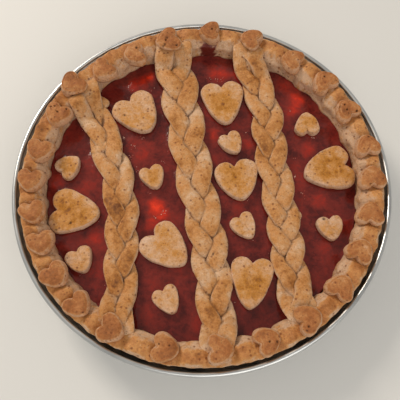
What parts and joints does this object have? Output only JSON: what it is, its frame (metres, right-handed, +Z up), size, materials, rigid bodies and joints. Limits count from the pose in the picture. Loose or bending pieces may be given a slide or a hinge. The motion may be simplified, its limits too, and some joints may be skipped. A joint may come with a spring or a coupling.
{
  "type": "cherry pie in its tin",
  "caption": "Round cherry pie in its own plain metal pie tin, with a crimped pastry border, plaits and pastry hearts laid over the red filling.",
  "frame": {"origin": "centre of the tin's flat base, on the surface that it stands on", "axes": "+Z up out of the pie, -Y towards the side that the picture was taken from, +X to the right"},
  "size_m": [0.2498, 0.2498, 0.0451],
  "materials": {
    "tin": "satin",
    "crust": "matte, baked golden brown",
    "pastry": "matte, baked golden brown",
    "browned_pastry": "matte, well browned",
    "filling": "glossy red jelly with cherries"
  },
  "bodies": {
    "root": {"tin": "tin", "crust": "crust", "filling": "filling", "plait_left": "pastry", "plait_middle": "pastry", "plait_right": "pastry", "large_heart_1": "pastry", "large_heart_2": "pastry", "large_heart_3": "pastry", "large_heart_4": "pastry", "large_heart_5": "pastry", "large_heart_6": "pastry", "large_heart_7": "pastry", "small_heart_1": "pastry", "small_heart_2": "pastry", "small_heart_3": "pastry", "small_heart_4": "pastry", "small_heart_5": "pastry", "small_heart_6": "pastry", "small_heart_7": "pastry", "small_heart_8": "pastry", "rim_heart_01": "browned_pastry", "rim_heart_02": "browned_pastry", "rim_heart_03": "browned_pastry", "rim_heart_04": "browned_pastry", "rim_heart_05": "browned_pastry", "rim_heart_06": "browned_pastry", "rim_heart_07": "browned_pastry", "rim_heart_08": "browned_pastry", "rim_heart_09": "browned_pastry", "rim_heart_10": "browned_pastry", "rim_heart_11": "browned_pastry", "rim_heart_12": "browned_pastry", "rim_heart_13": "browned_pastry", "rim_heart_14": "browned_pastry", "rim_heart_15": "browned_pastry", "rim_heart_16": "browned_pastry", "rim_heart_17": "browned_pastry", "rim_heart_18": "browned_pastry", "rim_heart_19": "browned_pastry", "rim_heart_20": "browned_pastry", "rim_heart_21": "browned_pastry", "rim_heart_22": "browned_pastry", "rim_heart_23": "browned_pastry", "rim_heart_24": "browned_pastry", "rim_heart_25": "browned_pastry", "rim_heart_26": "browned_pastry"}
  },
  "joints": []
}
